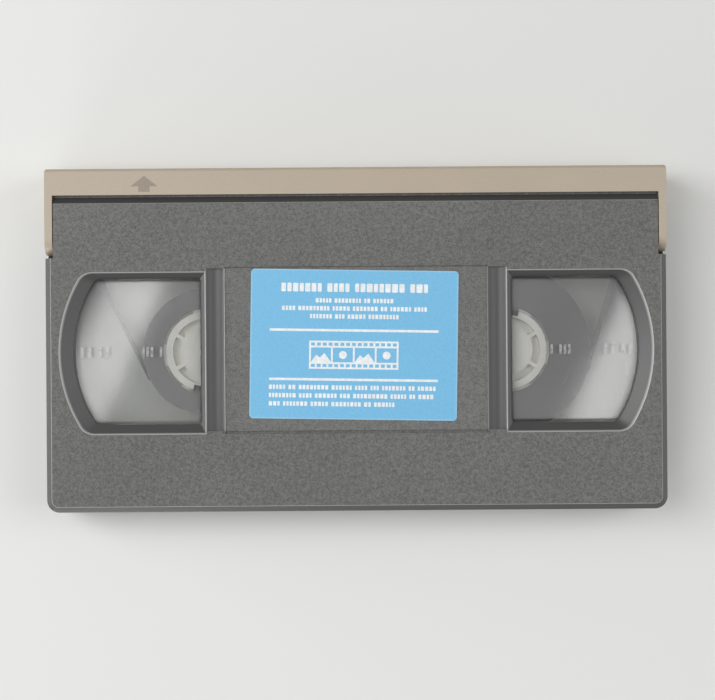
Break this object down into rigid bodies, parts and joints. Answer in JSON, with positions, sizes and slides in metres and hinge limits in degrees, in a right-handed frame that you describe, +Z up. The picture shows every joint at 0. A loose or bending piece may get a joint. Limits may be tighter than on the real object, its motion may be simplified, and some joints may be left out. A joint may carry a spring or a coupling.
{
  "type": "video cassette",
  "caption": "Half-inch home video cassette: grey case with clear windows over white reels, blue face label, and a hinged tan tape lid along one long edge.",
  "frame": {"origin": "middle of the underside, on the floor", "axes": "+X along the long side, +Y toward the tape lid, +Z up out of the label face"},
  "size_m": [0.188, 0.104, 0.025],
  "materials": {
    "case_grey": "fine spark-eroded texture",
    "clear_window": "clear polished",
    "label_paper": "printed, satin",
    "lid_tan": "fine satin",
    "spring_steel": "bright drawn wire",
    "latch_black": "moulded",
    "screw_steel": "plated",
    "reel_white": "moulded satin",
    "clear_flange": "clear polished",
    "tape_dark": "wound tape edge",
    "clamp_dark": "moulded",
    "pin_steel": "ground and polished",
    "roller_white": "moulded",
    "brake_white": "moulded",
    "leaf_film": "thin film"
  },
  "bodies": {
    "case": {"upper_shell": "case_grey", "lower_shell": "case_grey", "left_window": "clear_window", "right_window": "clear_window", "face_label": "label_paper", "lid_spring": "spring_steel", "latch_spring": "spring_steel", "case_screws": "screw_steel", "tape_span": "tape_dark", "left_guide_pin": "pin_steel", "right_guide_pin": "pin_steel", "roller_pin": "pin_steel", "tension_leaf": "leaf_film", "reel_leaf_spring": "spring_steel", "left_brake_spring": "spring_steel", "right_brake_spring": "spring_steel"},
    "lid": {"front_lid": "lid_tan"},
    "latch": {"lid_latch": "latch_black"},
    "takeup": {"takeup_reel": "reel_white", "takeup_top_flange": "clear_flange", "takeup_tape_pack": "tape_dark", "takeup_leader_clamp": "clamp_dark"},
    "supply": {"supply_reel": "reel_white", "supply_top_flange": "clear_flange", "supply_tape_pack": "tape_dark", "supply_leader_clamp": "clamp_dark"},
    "roller": {"guide_roller": "roller_white"},
    "release": {"brake_release": "latch_black"},
    "right_brake": {"right_brake_lever": "brake_white"},
    "left_brake": {"left_brake_lever": "brake_white"}
  },
  "joints": [
    {"name": "lid_hinge", "type": "hinge", "parent": "case", "child": "lid", "pos_m": [0, 0.031, 0.02], "axis": [1, 0, 0], "range_deg": [0, 85], "stiffness_Nm_per_rad": 0.004, "springref_deg": -28.65},
    {"name": "latch_pivot", "type": "hinge", "parent": "case", "child": "latch", "pos_m": [0.087, 0.03, 0.003], "axis": [0, 0, 1], "range_deg": [-6.5, 0], "stiffness_Nm_per_rad": 0.01},
    {"name": "takeup_spin", "type": "hinge", "parent": "case", "child": "takeup", "pos_m": [0.046, -0.0035, 0.01], "axis": [0, 0, 1], "continuous": true},
    {"name": "supply_spin", "type": "hinge", "parent": "case", "child": "supply", "pos_m": [-0.046, -0.0035, 0.01], "axis": [0, 0, 1], "continuous": true},
    {"name": "roller_spin", "type": "hinge", "parent": "case", "child": "roller", "pos_m": [-0.0845, 0.0385, 0.01], "axis": [0, 0, 1], "continuous": true},
    {"name": "release_slide", "type": "slide", "parent": "case", "child": "release", "axis": [0, 1, 0], "range_m": [0, 0.002], "stiffness_N_per_m": 40},
    {"name": "right_brake_pivot", "type": "hinge", "parent": "case", "child": "right_brake", "pos_m": [0.021, -0.0445, 0.0035], "axis": [0, 0, 1], "range_deg": [-8.03, 0]},
    {"name": "left_brake_pivot", "type": "hinge", "parent": "case", "child": "left_brake", "pos_m": [-0.021, -0.0445, 0.0035], "axis": [0, 0, 1], "range_deg": [0, 8.03]}
  ],
  "couplings": [
    {"joint": "supply_spin", "follows": "takeup_spin", "ratio": 1.3333},
    {"joint": "roller_spin", "follows": "takeup_spin", "ratio": 8},
    {"joint": "right_brake_pivot", "follows": "release_slide", "rad_per_m": -70},
    {"joint": "left_brake_pivot", "follows": "release_slide", "rad_per_m": 70}
  ]
}
